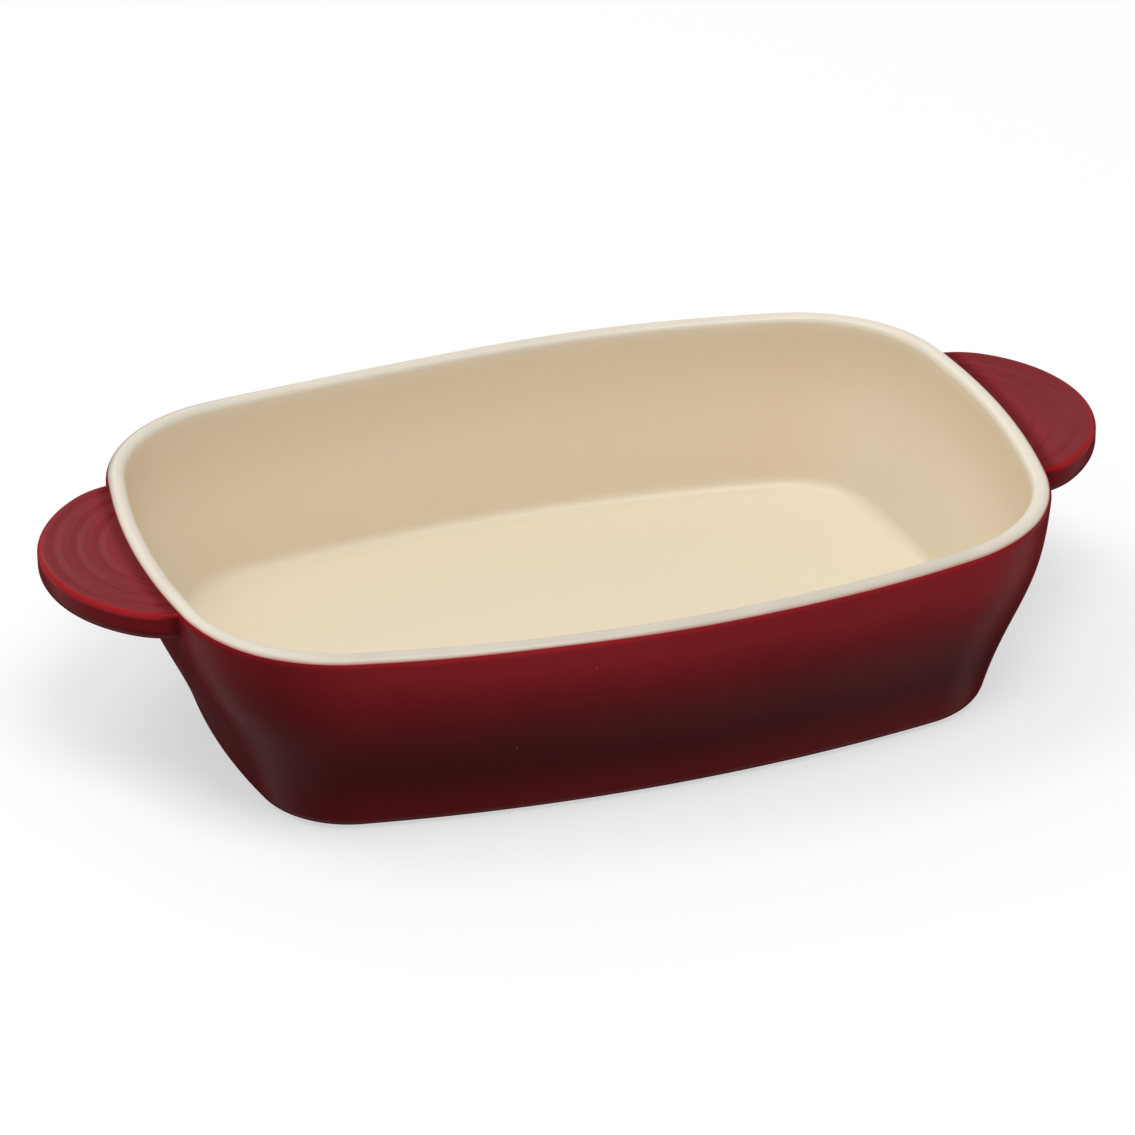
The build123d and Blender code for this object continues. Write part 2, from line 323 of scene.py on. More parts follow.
class Dish:
    """Rows of points over the faces of the dish, each row one turn round the outline."""

    # Share of the height, and share of the way in from the rim's outline to the base's
    LEVELS = (0.0, 0.19, 0.40, 0.665, 1.0)
    DRAW = (1.0, 0.806, 0.536, 0.194, 0.0)

    # Height over which a wall's lean is measured, under the rim and over the foot
    RIM_PROBE = 0.004
    FOOT_PROBE = 0.012

    # Where the close rows of the foot end and the rows of the wall begin
    FOOT_ROWS_END = 0.006
    WALL_ROWS_START = 0.0075

    # The skin lies a little deeper on the wall, so that coat and clay never share a face
    DEEPER = 1.04

    # Share of the cove's radius at which the wall passes into it
    COVE_SHARE = 0.74
    FLOOR_SHARES = (0.94, 0.86, 0.76, 0.64, 0.5, 0.36, 0.22, 0.1)

    def __init__(self, s):
        self.s, self.height = s, RIM_Z - FOOT_Z
        rim = np.array([s.rim_length / 2, s.rim_width / 2, s.rim_side_radius, s.rim_end_radius,
                        s.rim_corner_radius])
        base = np.array([s.base_length / 2, s.base_width / 2, s.base_side_radius, s.base_end_radius,
                         s.base_corner_radius])

        def sizes(level):
            draw = np.interp(level, self.LEVELS, self.DRAW)
            part = np.array([1 - draw, 1 - draw, level, level, level])
            return base + (rim - base) * part

        def wall(level):
            return np.interp(level, (s.floor_top / self.height, self.LEVELS[2], 1.0),
                             (s.wall_at_floor, s.wall_at_belly, s.wall_at_rim))
        h = self.height
        self.outer = natural_spline([v * h for v in self.LEVELS], [sizes(v) for v in self.LEVELS])
        inner = (s.floor_top / h,) + self.LEVELS[2:]
        self.inner = natural_spline([v * h for v in inner], [sizes(v) - wall(v) for v in inner])
        self.rim_points, _ = outline(rim)
        self.outer_lean, self.inner_lean = self.lean(self.outer), self.lean(self.inner)
        self.outer_start = -math.atan(self.outer_lean.max())
        self.inner_end = math.pi / 2 - math.atan(self.inner_lean.mean())

    def lean(self, form):
        """How far a wall leans outwards under the rim, for each column."""
        high, low = outline(form(self.height)), outline(form(self.height - self.RIM_PROBE))
        return ((high[0] - low[0]) * low[1]).sum(1) / self.RIM_PROBE

    def row(self, ring, inset, z):
        p, n = ring
        q = p - n * np.broadcast_to(inset, len(p))[:, None]
        return np.concatenate([q, np.broadcast_to(z, len(p))[:, None]], 1)

    def outer_rows(self, skin, low, top_turn):
        """Outer face from a level over the ground to a turn of the rim's rounding, sunk by a skin."""
        s, h, rows = self.s, self.height, []
        p0, n0 = outline(self.outer(0.0))
        p1, _ = outline(self.outer(self.FOOT_PROBE))
        lean = ((p1 - p0) * n0).sum(1) / self.FOOT_PROBE
        centre = lean * s.foot_round - s.foot_round * np.sqrt(1 + lean ** 2)
        tangent = s.foot_round * (1 - lean / np.sqrt(1 + lean ** 2))
        for z in np.linspace(low, self.FOOT_ROWS_END, 14):
            reach = np.sqrt(np.maximum((s.foot_round - skin) ** 2 - (s.foot_round - z) ** 2, 0))
            inset = np.where(z < tangent, lean * z - centre - reach, skin)
            rows.append(self.row(outline(self.outer(z)), inset, z))
        wall_end = h - s.rim_outer_round * (1 - math.sin(self.outer_start))
        for z in np.linspace(self.WALL_ROWS_START, wall_end, 62)[:-1]:
            rows.append(self.row(outline(self.outer(z)), skin * self.DEEPER, z))
        for t in np.linspace(0, 1, 17):
            rows.append(self.rim_row(skin, self.outer_start + (top_turn - self.outer_start) * t))
        return rows

    def rim_row(self, skin, turn):
        """Row on the rim's outer rounding, which meets the wall and the flat of the rim evenly."""
        r, lean = self.s.rim_outer_round, self.outer_lean
        inset = r * (lean + np.sqrt(1 + lean ** 2)) - (r - skin) * np.cos(turn)
        level = self.height - r + (r - skin) * np.sin(turn)
        return self.row(outline(self.outer(self.height)), inset, level)

    def inner_rows(self, skin, low_turn):
        """Face from a turn of the rim's outer rounding, over the rim, to the floor's middle."""
        s, h, rows = self.s, self.height, []
        for t in np.linspace(0, 1, 14):
            rows.append(self.rim_row(skin, low_turn + (math.pi / 2 - low_turn) * t))
        r, lean, ring = s.rim_inner_round, self.inner_lean, outline(self.inner(h))
        for t in np.linspace(0, self.inner_end, 12)[1:]:
            outset = r * (np.sqrt(1 + lean ** 2) - lean) - (r - skin) * math.sin(t)
            rows.append(self.row(ring, -outset, h - r + (r - skin) * math.cos(t)))
        cove_top = s.floor_top + s.cove_radius * self.COVE_SHARE
        for z in np.linspace(h - r * (1 - math.cos(self.inner_end)), cove_top, 56)[1:]:
            rows.append(self.row(outline(self.inner(z)), -skin, z))
        low, high = outline(self.inner(s.floor_top)), outline(self.inner(cove_top))
        lean = ((high[0] - low[0]) * low[1]).sum(1) / (cove_top - s.floor_top)
        centre = s.cove_radius * (lean - np.sqrt(1 + lean ** 2))
        start = -np.arctan(lean)
        for t in np.linspace(0, 1, 20)[1:]:
            turn = start + (-math.pi / 2 - start) * t
            z = s.floor_top + s.cove_radius + (s.cove_radius + skin) * np.sin(turn)
            reach = centre + (s.cove_radius + skin) * np.cos(turn)
            up = ((z - s.floor_top) / (cove_top - s.floor_top))[:, None]
            p = low[0] + (high[0] - low[0]) * up
            q = p - low[1] * (lean * (z - s.floor_top) - reach)[:, None]
            rows.append(np.concatenate([q, z[:, None]], 1))
        edge = rows[-1]
        return rows + [edge * (t, t, 1) for t in self.FLOOR_SHARES]


def glaze_turn(dish):
    """Turn of the rim's rounding at which red meets cream, for each column."""
    x, y = (dish.rim_points / HALF_RIM).T
    around = np.arctan2(y, x)
    turn = GLAZE_LINE + sum(k * np.sin(count * around + start) for k, count, start in GLAZE_WAVES)
    beside_lug = fall(abs(y), *LUG_SPAN) * (abs(x) > 0.5)
    turn = (turn - FRONT_LOWER * fall(y, 0, 1)) * (1 - beside_lug) + BESIDE_LUGS * beside_lug
    rises = sum(hump(around, centre, spread) * most for centre, spread, most in GLAZE_RISES)
    return np.radians(turn + rises)


def make_mesh(name, points, faces, layers=None):
    mesh = bpy.data.meshes.new(name)
    mesh.from_pydata(points.tolist(), [], faces)
    for key, values in (layers or {}).items():
        layer = mesh.attributes.new(key, "FLOAT", "POINT")
        layer.data.foreach_set("value", np.asarray(values, np.float32))
    mesh.polygons.foreach_set("use_smooth", np.ones(len(mesh.polygons), bool))
    mesh.update()
    obj = bpy.data.objects.new(name, mesh)
    bpy.context.scene.collection.objects.link(obj)
    return obj


def grid_faces(rows, columns, wrap_rows=False, wrap_columns=True):
    """Quads between rows, which each go once round unless the columns don't wrap."""
    faces = []
    for r in range(rows if wrap_rows else rows - 1):
        a, b = r * columns, ((r + 1) % rows) * columns
        for c in range(columns if wrap_columns else columns - 1):
            d = (c + 1) % columns
            faces.append((a + c, b + c, b + d, a + d))
    return faces


def capped_faces(rows, columns):
    """Quads between rows, and one face over the first row and one over the last."""
    last = (rows - 1) * columns
    caps = [tuple(range(columns)), tuple(range(last + columns - 1, last - 1, -1))]
    return grid_faces(rows, columns) + caps


def ride(obj, material, slot, *nodes):
    obj.data.materials.clear()
    obj.data.materials.append(material)
    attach(obj, "root")
    if nodes:
        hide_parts(*nodes)


class Nodes:
    """Short calls for laying out a node tree."""

    def __init__(self, tree):
        self.tree = tree

    def new(self, kind, inputs=None, **settings):
        node = self.tree.nodes.new(kind)
        for key, value in settings.items():
            setattr(node, key, value)
        for key, value in (inputs or {}).items():
            self.feed(node.inputs[key], value)
        return node

    def feed(self, socket, value):
        if isinstance(value, bpy.types.NodeSocket):
            self.tree.links.new(value, socket)
        else:
            socket.default_value = value

    def math(self, operation, *values):
        node = self.new("ShaderNodeMath", operation=operation)
        for socket, value in zip(node.inputs, values):
            self.feed(socket, value)
        return node.outputs[0]

    def split(self, vector):
        return self.new("ShaderNodeSeparateXYZ", inputs={0: vector}).outputs

    def times(self, a, b):
        return self.math("MULTIPLY", a, b)

    def minus(self, a, b):
        return self.math("SUBTRACT", a, b)

    def mix(self, factor, a, b):
        node = self.new("ShaderNodeMix", data_type="RGBA", inputs={0: factor, 6: a, 7: b})
        return node.outputs[2]

    def noise(self, vector, scale, detail=3.0, roughness=0.5):
        return self.new("ShaderNodeTexNoise", inputs={
            "Vector": vector, "Scale": scale, "Detail": detail,
            "Roughness": roughness}).outputs["Fac"]

    def remap(self, value, low, high, to_low=0.0, to_high=1.0, smooth=True):
        node = self.new("ShaderNodeMapRange", interpolation_type="SMOOTHSTEP" if smooth else "LINEAR",
                        inputs={0: value, 1: low, 2: high, 3: to_low, 4: to_high})
        return node.outputs[0]


# Kinds of the sockets that aren't plain numbers
KINDS = {"Geometry": "Geometry", "Glaze": "Material", "Count": "Int", "Seed": "Int",
         "Vector": "Vector", "Normal": "Vector", "Colour": "Color", "Pooled": "Color",
         "Thin Colour": "Color"}


def new_tree(name, family, takes, gives):
    """Empty node tree with named sockets, and its nodes, inputs and output."""
    tree = bpy.data.node_groups.new(name, family + "NodeTree")
    for in_out, labels in (("INPUT", takes), ("OUTPUT", gives)):
        for label in labels:
            kind = "NodeSocket" + KINDS.get(label, "Float")
            tree.interface.new_socket(label, in_out=in_out, socket_type=kind)
    n = Nodes(tree)
    return tree, n, n.new("NodeGroupInput").outputs, n.new("NodeGroupOutput")


def glaze_mottle_group():
    """Cloudy drift in the colour of a glaze, from a broad pool to a fine grain."""
    takes = ("Vector", "Colour", "Pooled", "Broad Scale", "Fine Scale", "Amount")
    _, n, i, out = new_tree("Glaze Mottle", "Shader", takes, ("Colour", "Mask"))
    broad = n.noise(i["Vector"], i["Broad Scale"], 2.0)
    fine = n.noise(i["Vector"], i["Fine Scale"], 4.0, 0.6)
    both = n.math("MULTIPLY_ADD", fine, 0.35, n.times(broad, 0.65))
    mask = n.remap(both, 0.34, 0.66)
    n.feed(out.inputs["Colour"], n.mix(n.times(mask, i["Amount"]), i["Colour"], i["Pooled"]))
    n.feed(out.inputs["Mask"], mask)


def glaze_break_group():
    """Where a painted mask says, a colour breaks to another with a ragged border: a glaze running thin
    over an edge, and painted shade and highlight.
    """
    takes = ("Vector", "Colour", "Thin Colour", "Edge", "Ragged", "Scale")
    _, n, i, out = new_tree("Glaze Break And Painted Light", "Shader", takes, ("Colour",))
    noise = n.minus(n.noise(i["Vector"], i["Scale"], 3.0), 0.5)
    ragged = n.times(i["Ragged"], n.remap(i["Edge"], 0.0, 0.25))
    mask = n.remap(n.math("MULTIPLY_ADD", noise, ragged, i["Edge"]), 0.0, 1.0)
    n.feed(out.inputs["Colour"], n.mix(mask, i["Colour"], i["Thin Colour"]))


def glaze_skin_group():
    """Bump normal of a fired glaze: a slow roll from the clay under it and a fine orange peel."""
    takes = ("Vector", "Roll Scale", "Peel Scale", "Roll", "Peel", "Depth")
    _, n, i, out = new_tree("Glaze Skin", "Shader", takes, ("Normal",))
    roll = n.times(n.noise(i["Vector"], i["Roll Scale"], 1.0), i["Roll"])
    peel = n.times(n.noise(i["Vector"], i["Peel Scale"], 2.0), i["Peel"])
    bump = n.new("ShaderNodeBump", inputs={"Strength": 1.0, "Distance": i["Depth"],
                                           "Height": n.math("ADD", roll, peel)})
    n.feed(out.inputs["Normal"], bump.outputs["Normal"])


def run_tree(obj, tree, **values):
    """Apply a geometry node tree to an object with named inputs, and keep the plain mesh."""
    modifier = obj.modifiers.new(tree.name, "NODES")
    modifier.node_group = tree
    for item in tree.interface.items_tree:
        key = item.name.replace(" ", "_")
        if item.in_out == "INPUT" and key in values:
            modifier[item.identifier] = values[key]
    bpy.context.view_layer.update()
    graph = bpy.context.evaluated_depsgraph_get()
    mesh = bpy.data.meshes.new_from_object(obj.evaluated_get(graph), preserve_all_data_layers=True,
                                           depsgraph=graph)
    obj.modifiers.clear()
    old, obj.data = obj.data, mesh
    name = old.name
    bpy.data.meshes.remove(old)
    mesh.name = name
    return obj


def shape_tree(name, *sizes):
    """Empty geometry node tree that takes a shape, its sizes and its glaze."""
    return new_tree(name, "Geometry", ("Geometry", *sizes, "Glaze"), ("Geometry",))


def finish_tree(n, i, out, geometry):
    """End a tree: make its instances real and give it its finish."""
    whole = n.new("GeometryNodeRealizeInstances", inputs={"Geometry": geometry})
    dressed = n.new("GeometryNodeSetMaterial",
                    inputs={"Geometry": whole.outputs[0], "Material": i["Glaze"]})
    n.feed(out.inputs[0], dressed.outputs[0])


def finish_lifted(n, i, out, lift, chosen=True):
    """End a tree that lifts the chosen points of its shape."""
    offset = n.new("ShaderNodeCombineXYZ", inputs={"Z": lift}).outputs[0]
    moved = n.new("GeometryNodeSetPosition", inputs={
        "Geometry": i["Geometry"], "Offset": offset, "Selection": chosen})
    finish_tree(n, i, out, moved.outputs[0])


def slump_tree():
    """Geometry nodes that let the middle of each long side sink, as it did in the kiln."""
    tree, n, i, out = shape_tree("Kiln Slump", "Sag", "Front Gain", "Back Swing", "Half Length",
                                 "Half Width", "Foot Level", "Height")
    place = n.split(n.new("GeometryNodeInputPosition").outputs[0])
    end = n.math("DIVIDE", place["X"], i["Half Length"])
    along = n.math("MAXIMUM", n.minus(1.0, n.times(end, end)), 0.0)
    side = n.math("MINIMUM", n.math("ABSOLUTE", n.math("DIVIDE", place["Y"], i["Half Width"])), 1.0)
    up = n.math("DIVIDE", n.minus(place["Z"], i["Foot Level"]), i["Height"])
    raised = n.times(along, n.math("MAXIMUM", up, 0.0))
    part = n.times(n.times(side, side), raised)
    swing = n.times(n.math("SINE", n.times(end, BACK_WAVES * math.pi)), i["Back Swing"])
    front = n.times(n.math("ADD", end, FRONT_START), i["Front Gain"])
    at_back = n.math("GREATER_THAN", place["Y"], 0.0)
    uneven = n.new("ShaderNodeMix", data_type="FLOAT",
                   inputs={0: at_back, 2: front, 3: n.times(swing, -1.0)}).outputs[0]
    part = n.times(part, n.math("ADD", uneven, 1.0))
    finish_lifted(n, i, out, n.times(part, n.times(i["Sag"], -1.0)))
    return tree


def slump(obj, s, material):
    """Let a coat or the body sink with the rest of the dish."""
    tree = bpy.data.node_groups.get("Kiln Slump") or slump_tree()
    return run_tree(obj, tree, Sag=s.rim_sag, Front_Gain=s.front_gain, Back_Swing=s.back_swing,
                    Half_Length=s.rim_length / 2, Half_Width=s.rim_width * SLUMP_WIDTH,
                    Foot_Level=FOOT_Z, Height=RIM_Z - FOOT_Z, Glaze=material)


def rgba(value):
    return (*value, 1.0)


def new_material(name, **plain):
    material = bpy.data.materials.new(name)
    material.use_nodes = True
    shader = material.node_tree.nodes["Principled BSDF"]
    for key, value in plain.items():
        shader.inputs[key.replace("_", " ")].default_value = value
    n = Nodes(material.node_tree)
    where = n.new("ShaderNodeTexCoord").outputs["Object"]
    return material, n, shader, where


def attribute(n, name):
    return n.new("ShaderNodeAttribute", attribute_type="GEOMETRY", attribute_name=name).outputs["Fac"]


def use_group(n, name, **inputs):
    node = n.new("ShaderNodeGroup", node_tree=bpy.data.node_groups[name])
    for key, value in inputs.items():
        n.feed(node.inputs[key.replace("_", " ")], value)
    return node


def mottled(n, where, colour, pooled, broad, fine, amount):
    """Colour and mask of a glaze that drifts between its body and its pools."""
    group = use_group(n, "Glaze Mottle", Vector=where, Colour=colour, Pooled=pooled,
                      Broad_Scale=broad, Fine_Scale=fine, Amount=amount)
    return group.outputs["Colour"], group.outputs["Mask"]


def broken(n, where, colour, thin, mask, ragged, scale):
    """Colour that breaks to another where a painted mask says so: thin glaze, and painted shade and
    highlight.
    """
    return use_group(n, "Glaze Break And Painted Light", Vector=where, Colour=colour, Thin_Colour=rgba(thin),
                     Edge=attribute(n, mask), Ragged=ragged, Scale=scale).outputs["Colour"]


def lay_skin(n, shader, where, colour, roll, peel, depth=0.0006):
    """Join a colour and a bumpy skin, each bump a scale and a strength, to the shader."""
    skin = use_group(n, "Glaze Skin", Vector=where, Roll_Scale=roll[0], Roll=roll[1],
                     Peel_Scale=peel[0], Peel=peel[1], Depth=depth)
    n.feed(shader.inputs["Base Color"], colour)
    n.feed(shader.inputs["Normal"], skin.outputs["Normal"])


def red_glaze_material(f):
    material, n, shader, where = new_material("fired_red_glaze", IOR=1.48, Specular_IOR_Level=0.05,
                                              Specular_Tint=(1.0, 0.35, 0.35, 1.0))
    place = n.split(where)
    # Painted shade: the run leans with X, so the left of the wall turns dark higher up
    tilt = n.math("MULTIPLY_ADD", place["X"], 0.03, place["Z"])
    sway = n.math("MULTIPLY_ADD", n.noise(where, 30.0, 2.0), 0.012, tilt)
    # Painted shade: from the bright top the red darkens down the wall, then painted floor light
    # brightens it at the foot
    deep, bright = (FOOT_Z + z for z in RED_RUN)
    run = n.math("POWER", n.remap(sway, deep, bright, smooth=False), 1.6)
    foot = n.remap(place["Z"], *(FOOT_Z + z for z in RED_FOOT))
    wall = n.mix(run, n.mix(foot, rgba(f.red_shade), rgba(f.red_foot)), rgba(f.red))
    # Painted shade from the under mask: the end walls, the lugs' undersides and where a lug meets the
    # wall
    shaded = n.mix(attribute(n, "under"), wall, rgba(f.red_shade))
    # Painted sheen on the lug tops, from the level mask
    body = n.mix(attribute(n, "level"), shaded, rgba(f.red_lug))
    pooled = n.new("ShaderNodeHueSaturation", inputs={"Value": 0.74, "Color": body}).outputs[0]
    colour, mask = mottled(n, where, body, pooled, 11.0, 190.0, 0.45)
    # Thin glaze under the glaze line, and a painted highlight along the lugs' rounding
    colour = broken(n, where, colour, f.red_thin, "thin", 0.25, 150.0)
    lay_skin(n, shader, where, colour, (24.0, 0.30), (380.0, 0.035))
    gloss = n.remap(mask, 0.0, 1.0, f.red_gloss, f.red_gloss + 0.06)
    facing = n.new("ShaderNodeLayerWeight", inputs={"Blend": 0.5}).outputs["Facing"]
    grazing = n.remap(facing, 0.45, 0.85, 0.0, 0.60)
    n.feed(shader.inputs["Roughness"], n.math("ADD", gloss, grazing))
    return material


def cream_glaze_material(f):
    material, n, shader, where = new_material("fired_cream_glaze", IOR=1.48, Specular_IOR_Level=0.45)
    body = n.mix(attribute(n, "wall"), rgba(f.cream), rgba(f.cream_wall))
    pooled = n.new("ShaderNodeHueSaturation",
                   inputs={"Saturation": 1.08, "Value": 0.965, "Color": body}).outputs[0]
    colour, mask = mottled(n, where, body, pooled, 9.0, 140.0, 0.2)
    colour = broken(n, where, colour, f.cream_rim, "thin", 0.10, 90.0)
    # Painted shade on the rim, and the greyer back-left line
    colour = broken(n, where, colour, f.cream_edge, "rim_shade_grey_line", 0.25, 45.0)
    colour = broken(n, where, colour, f.blush, "meeting", 0.9, 55.0)
    lay_skin(n, shader, where, colour, (20.0, 0.35), (260.0, 0.03))
    gloss = n.remap(mask, 0.0, 1.0, f.cream_gloss, f.cream_gloss + 0.08)
    n.feed(shader.inputs["Roughness"], gloss)
    return material


def bare_clay_material(f):
    material, n, shader, where = new_material("fired_clay", Roughness=0.85)
    darker = [c * k for c, k in zip(f.clay, (0.72, 0.66, 0.60))]
    colour, _ = mottled(n, where, rgba(f.clay), rgba(darker), 40.0, 900.0, 0.7)
    lay_skin(n, shader, where, colour, (300.0, 0.3), (1500.0, 0.5), 0.0003)
    return material


def pin_mark_material(f):
    material, n, shader, where = new_material("pin_mark", Roughness=0.55, Specular_IOR_Level=0.3)
    colour, _ = mottled(n, where, rgba([c * 1.6 for c in f.red]), rgba((0.02, 0.006, 0.006)),
                        300.0, 2500.0, 0.9)
    n.feed(shader.inputs["Base Color"], colour)
    return material


FINISHES = {"fired_red_glaze": red_glaze_material, "fired_cream_glaze": cream_glaze_material,
            "fired_clay": bare_clay_material, "pin_mark": pin_mark_material}


def material_for(name):
    return bpy.data.materials.get(name) or FINISHES[name](bpy.context.scene.dish_finish)


def settle(name, rows, faces, finish, slot, node, layers=None):
    """Make the body or a coat from its rows, let it sink in the kiln and give it its finish."""
    material = material_for(finish)
    obj = make_mesh(name, np.concatenate(rows), faces, layers)
    ride(slump(obj, bpy.context.scene.dish_shape, material), material, slot, node)


class DISH_OT_glaze_effects(bpy.types.Operator):
    """Build the node groups that the finishes share"""
    bl_idname = "dish.glaze_effects"
    bl_label = "Glaze Effects"

    def execute(self, context):
        for build in (glaze_mottle_group, glaze_break_group, glaze_skin_group):
            build()
        return {"FINISHED"}


class DISH_OT_clay_body(bpy.types.Operator):
    """Make the clay body with its bare foot ring and the hollow of its underside"""
    bl_idname = "dish.clay_body"
    bl_label = "Clay Body"

    def execute(self, context):
        s = context.scene.dish_shape
        dish = Dish(s)
        columns = len(dish.rim_points)
        flat = np.full(columns, math.pi / 2)
        ground = outline(dish.outer(0.0))
        hollow = s.underside_hollow + s.glaze
        ring_in = s.foot_inset + s.foot_ring_width
        under = [dish.row(ground, ring_in, hollow) * (k, k, 1) for k in HOLLOW_SHARES]
        steps = ((ring_in, FOOT_EASE), (ring_in - FOOT_EASE, 0.0), (s.foot_inset + FOOT_EASE, 0.0),
                 (s.foot_inset, FOOT_EASE), (s.foot_inset, s.dry_foot * 0.8))
        under += [dish.row(ground, inset, z) for inset, z in steps]
        rows = under + dish.outer_rows(s.glaze, s.dry_foot, flat)
        rows += dish.inner_rows(s.glaze, flat)[1:]
        settle("clay_body", rows, capped_faces(len(rows), columns), "fired_clay",
               "bare_clay", "stoneware_basin")
        return {"FINISHED"}


class DISH_OT_cream_liner(bpy.types.Operator):
    """Make the cream coat of the inside, carried over the rim to the wandering glaze line"""
    bl_idname = "dish.cream_liner"
    bl_label = "Cream Liner"

    def execute(self, context):
        s = context.scene.dish_shape
        dish = Dish(s)
        columns = len(dish.rim_points)
        turn = glaze_turn(dish)
        shown, buried = dish.inner_rows(0.0, turn), dish.inner_rows(s.glaze, turn)
        rows = buried[::-1] + shown
        first = np.stack(shown)[:, 0]
        path = np.concatenate([[0], np.cumsum(np.linalg.norm(np.diff(first, axis=0), axis=1))])
        level = first[:, 2]
        inside = path > path[np.argmax(level)]
        climb = level - s.floor_top
        warm = 0.75 * rise(climb, *WARM_COVE) + 0.25 * rise(climb, *WARM_WALL)
        wall = np.where(inside, warm, 1)
        low = np.where(inside, fall(climb, *PALE_LOW_WALL), 0)
        x, y = dish.rim_points.T * 2 / [[s.rim_length], [s.rim_width]]
        front = fall(y, *FRONT_SIDE) * fall(abs(x), *FRONT_ENDS)
        # A greyer line along the back-left edge of the rim
        back_left = hump(np.arctan2(y, x), *BACK_LEFT)
        # Painted shade on the rim: greyest at the front, lighter along the back and the left end, none
        # at the right end
        sides = 0.46 * front + 0.27 * (1 - front) * (1 - rise(x, *RIGHT_PART))
        near_rim, edge = fall(path, *PALE_RIM), fall(path, *GREY_LINE_EDGE)
        whole = np.ones(columns)
        masks = {"thin": np.outer(near_rim, whole),
                 "meeting": np.outer(fall(path, *GLAZES_MEET), whole),
                 "wall": wall[:, None] * (1 - np.outer(low, rise(abs(x), *END_WALLS))),
                 "rim_shade_grey_line": np.outer(near_rim, sides) + np.outer(edge, back_left)}
        blank = np.zeros(len(buried) * columns)
        layers = {key: np.concatenate([blank, mask.reshape(-1)]) for key, mask in masks.items()}
        settle("cream_liner", rows, capped_faces(len(rows), columns), "fired_cream_glaze",
               "cream_glaze", "cream_liner_glaze", layers)
        return {"FINISHED"}


class DISH_OT_red_wall(bpy.types.Operator):
    """Make the red coat of the outer wall, from the dry foot up to the glaze line"""
    bl_idname = "dish.red_wall"
    bl_label = "Red Wall"

    def execute(self, context):
        s = context.scene.dish_shape
        dish = Dish(s)
        columns = len(dish.rim_points)
        turn = glaze_turn(dish)
        shown, buried = (dish.outer_rows(skin, s.dry_foot, turn) for skin in (0.0, s.glaze))
        rows = shown + buried[::-1]
        path = np.linalg.norm(np.diff(np.stack(shown), axis=0), axis=2)
        to_line = np.concatenate([np.cumsum(path[::-1], axis=0)[::-1], np.zeros((1, columns))])
        thin = fall(to_line, *THIN_RED) ** 1.2 * 0.4
        # Painted shade on the walls that face left and right
        facing = outline(dish.outer(dish.height))[1][:, 0]
        shaded = 0.62 * fall(facing, *FACES_LEFT) + 0.5 * rise(facing, *FACES_RIGHT)
        layers = {"thin": np.concatenate([thin.reshape(-1), np.zeros(thin.size)]),
                  "under": np.tile(shaded, len(rows))}
        settle("red_wall_coat", rows, grid_faces(len(rows), columns, wrap_rows=True),
               "fired_red_glaze", "red_glaze", "red_outer_glaze", layers)
        return {"FINISHED"}


def lug_line(lug, inset, root, count):
    """Points of a line that follows the right lug's edge at an inset, from root to root."""
    tip = bpy.context.scene.dish_shape.rim_length / 2 + lug.reach
    nose_x = tip - lug.nose_radius
    up = lug.width / 2 - lug.shoulder_radius
    run = math.sqrt((lug.nose_radius - lug.shoulder_radius) ** 2 - up ** 2)
    join = math.atan2(up, run)
    nose, shoulder = lug.nose_radius - inset, max(lug.shoulder_radius - inset, 0.0)
    a = np.linspace(0, join, 200)
    b = np.linspace(join, math.pi / 2, 160)[1:]
    x = np.concatenate([nose_x + nose * np.cos(a), nose_x + run + shoulder * np.cos(b)])
    y = np.concatenate([nose * np.sin(a), up + shoulder * np.sin(b)])
    straight = np.linspace(0.0005, 0.02, 40)
    x = np.concatenate([x, x[-1] - straight])
    y = np.concatenate([y, np.full(len(straight), y[-1])])
    outside = x - np.interp(y, *root)
    k = int(np.argmax(outside < 0)) if (outside < 0).any() else len(x) - 1
    if k < 1:
        return None
    f = outside[k - 1] / max(outside[k - 1] - outside[k], 1e-9)
    x = np.append(x[:k], x[k - 1] + (x[k] - x[k - 1]) * f)
    y = np.append(y[:k], y[k - 1] + (y[k] - y[k - 1]) * f)
    x, y = np.concatenate([x[:0:-1], x]), np.concatenate([-y[:0:-1], y])
    path = np.concatenate([[0], np.cumsum(np.hypot(np.diff(x), np.diff(y)))])
    if path[-1] < SHORTEST_LINE:
        return None
    t = np.linspace(0, path[-1], count)
    return np.stack([np.interp(t, path, x), np.interp(t, path, y)], 1)


def end_wall(points):
    """Right end of an outline, as places across and how far out the wall stands there."""
    right = points[points[:, 0] > 0.6 * points[:, 0].max()]
    right = right[np.argsort(right[:, 1])]
    return right[:, 1], right[:, 0]


